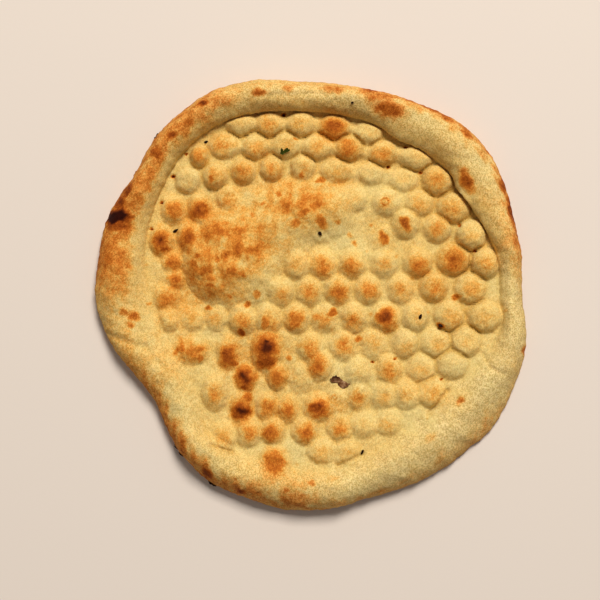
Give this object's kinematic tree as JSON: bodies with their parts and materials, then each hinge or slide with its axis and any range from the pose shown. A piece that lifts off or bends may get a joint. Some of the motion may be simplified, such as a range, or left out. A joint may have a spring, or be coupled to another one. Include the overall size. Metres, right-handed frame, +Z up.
{
  "type": "naan bread",
  "caption": "Round baked flatbread with a thick rolled rim round a floor of finger-dimpled, toasted knobs and a few dark seeds.",
  "frame": {"origin": "centre of the bounding box's bottom face, on the plane the bread rests on", "axes": "+Z up out of the dimpled top; +X to the right and +Y to the top of the bread as seen from above"},
  "size_m": [0.2308, 0.2302, 0.0209],
  "materials": {
    "crust": "baked bread crust, matt, pale tan with toasted brown knobs",
    "seed": "black seed, matt with a faint sheen",
    "herb": "dried green herb leaf, matt",
    "baked_skin": "torn flake of baked skin, brown-mauve, matt",
    "char": "charred flour and crumbs of crust at the rim's foot"
  },
  "bodies": {
    "root": {"naan": "crust"}
  },
  "joints": []
}
